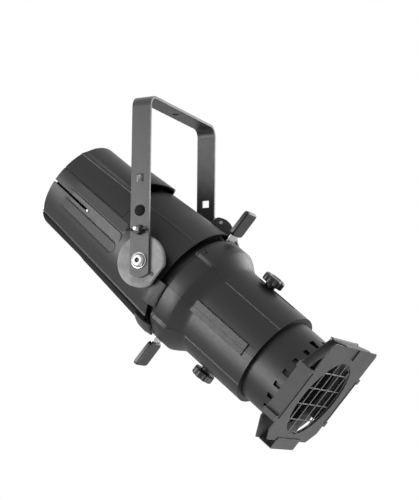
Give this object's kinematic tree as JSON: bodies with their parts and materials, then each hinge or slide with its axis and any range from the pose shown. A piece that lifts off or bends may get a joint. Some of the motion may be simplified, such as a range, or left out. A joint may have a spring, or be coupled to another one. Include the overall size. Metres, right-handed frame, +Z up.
{
  "type": "ellipsoidal spotlight",
  "caption": "Black ellipsoidal stage spotlight tilted in a flat-bar yoke, with framing shutters, sliding lens tube, fan-cooled lamp house and a colour-frame holder with wire guard.",
  "frame": {"origin": "centre of the hanging hole, on the top face of the yoke's crossbar", "axes": "+X level, the way the beam points in plan; +Y along the tilt pivot, to the left seen along the beam; +Z up"},
  "size_m": [0.6364, 0.322, 0.6426],
  "materials": {
    "black_paint": "satin black powder coat",
    "grey_paint": "satin dark grey paint",
    "disc_metal": "light grey satin metal",
    "bright_steel": "bright plated",
    "fin_aluminium": "bare extruded",
    "reflector_mirror": "polished",
    "lens_glass": "clear polished",
    "black_plastic": "fine matt",
    "emitter": "phosphor yellow"
  },
  "bodies": {
    "yoke": {"yoke": "grey_paint", "yoke_plug_left": "black_plastic", "yoke_plug_right": "black_plastic", "pivot_bolt_left": "bright_steel", "pivot_bolt_right": "bright_steel", "pivot_washer_left": "bright_steel", "pivot_washer_right": "bright_steel", "lock_stud_left": "bright_steel", "lock_stud_right": "bright_steel", "tilt_shoe_left": "bright_steel", "tilt_shoe_right": "bright_steel"},
    "head": {"housing_shell": "black_paint", "top_cover": "black_paint", "bottom_tray": "black_paint", "rear_panel": "black_paint", "power_inlet": "black_plastic", "fan_frame": "black_plastic", "heat_sink": "fin_aluminium", "engine_plate": "fin_aluminium", "led_board": "emitter", "reflector": "reflector_mirror", "front_bulkhead": "black_paint", "bottom_catch": "black_paint", "top_catch": "black_paint", "gate_frame": "black_paint", "gate_plate": "black_paint", "barrel_upper": "black_paint", "barrel_lower": "black_paint", "pivot_disc_left": "disc_metal", "pivot_disc_right": "disc_metal", "data_socket_left": "black_plastic", "data_socket_right": "black_plastic", "side_link_left": "black_paint", "side_link_right": "black_paint", "slot_pin_left": "bright_steel", "slot_pin_right": "bright_steel"},
    "fan": {"fan_rotor": "black_plastic"},
    "shutter_top": {"shutter_blade_top": "bright_steel", "shutter_grip_top": "black_plastic"},
    "shutter_bottom": {"shutter_blade_bottom": "bright_steel", "shutter_grip_bottom": "black_plastic"},
    "lens": {"lens_tube": "black_paint", "front_lens": "lens_glass", "front_lens_ring": "black_paint", "rear_lens": "lens_glass", "rear_lens_ring": "black_paint", "holder_back": "black_paint", "holder_front": "black_paint", "side_rail_left": "black_paint", "side_rail_right": "black_paint", "bottom_rest": "black_paint", "wire_guard": "black_paint", "latch_pin": "bright_steel", "knob_stud_top": "bright_steel", "knob_stud_bottom": "bright_steel"},
    "focus_knob_top": {"focus_knob_top": "black_plastic"},
    "focus_knob_bottom": {"focus_knob_bottom": "black_plastic"},
    "frame_latch": {"frame_latch": "black_paint"},
    "wing_nut_left": {"wing_nut_left": "black_paint"},
    "wing_nut_right": {"wing_nut_right": "black_paint"}
  },
  "joints": [
    {"name": "head_tilt", "type": "hinge", "parent": "yoke", "child": "head", "pos_m": [0, 0, -0.308], "axis": [0, 1, 0], "range_deg": [-100, 190]},
    {"name": "shutter_top_slide", "type": "slide", "parent": "head", "child": "shutter_top", "axis": [0.6455, 0, 0.7638], "range_m": [-0.006, 0.055]},
    {"name": "shutter_bottom_slide", "type": "slide", "parent": "head", "child": "shutter_bottom", "axis": [-0.6455, 0, -0.7638], "range_m": [-0.006, 0.055]},
    {"name": "lens_focus", "type": "slide", "parent": "head", "child": "lens", "axis": [0.7638, 0, -0.6455], "range_m": [-0.02, 0.06]},
    {"name": "focus_knob_top_turn", "type": "hinge", "parent": "lens", "child": "focus_knob_top", "pos_m": [0.13366, 0, -0.42096], "axis": [0.6455, 0, 0.7638], "range_deg": [-180, 180]},
    {"name": "focus_knob_bottom_turn", "type": "hinge", "parent": "lens", "child": "focus_knob_bottom", "pos_m": [0.13366, 0, -0.42096], "axis": [-0.6455, 0, -0.7638], "range_deg": [-180, 180]},
    {"name": "frame_latch_swing", "type": "hinge", "parent": "lens", "child": "frame_latch", "pos_m": [0.33937, 0, -0.45378], "axis": [0, -1, 0], "range_deg": [0, 100]},
    {"name": "wing_nut_left_turn", "type": "hinge", "parent": "yoke", "child": "wing_nut_left", "pos_m": [0, 0.141, -0.252], "axis": [0, 1, 0], "range_deg": [-180, 180]},
    {"name": "wing_nut_right_turn", "type": "hinge", "parent": "yoke", "child": "wing_nut_right", "pos_m": [0, -0.141, -0.252], "axis": [0, -1, 0], "range_deg": [-180, 180]},
    {"name": "fan_spin", "type": "hinge", "parent": "head", "child": "fan", "pos_m": [-0.19477, 0, -0.14341], "axis": [0.7638, 0, -0.6455], "continuous": true}
  ]
}
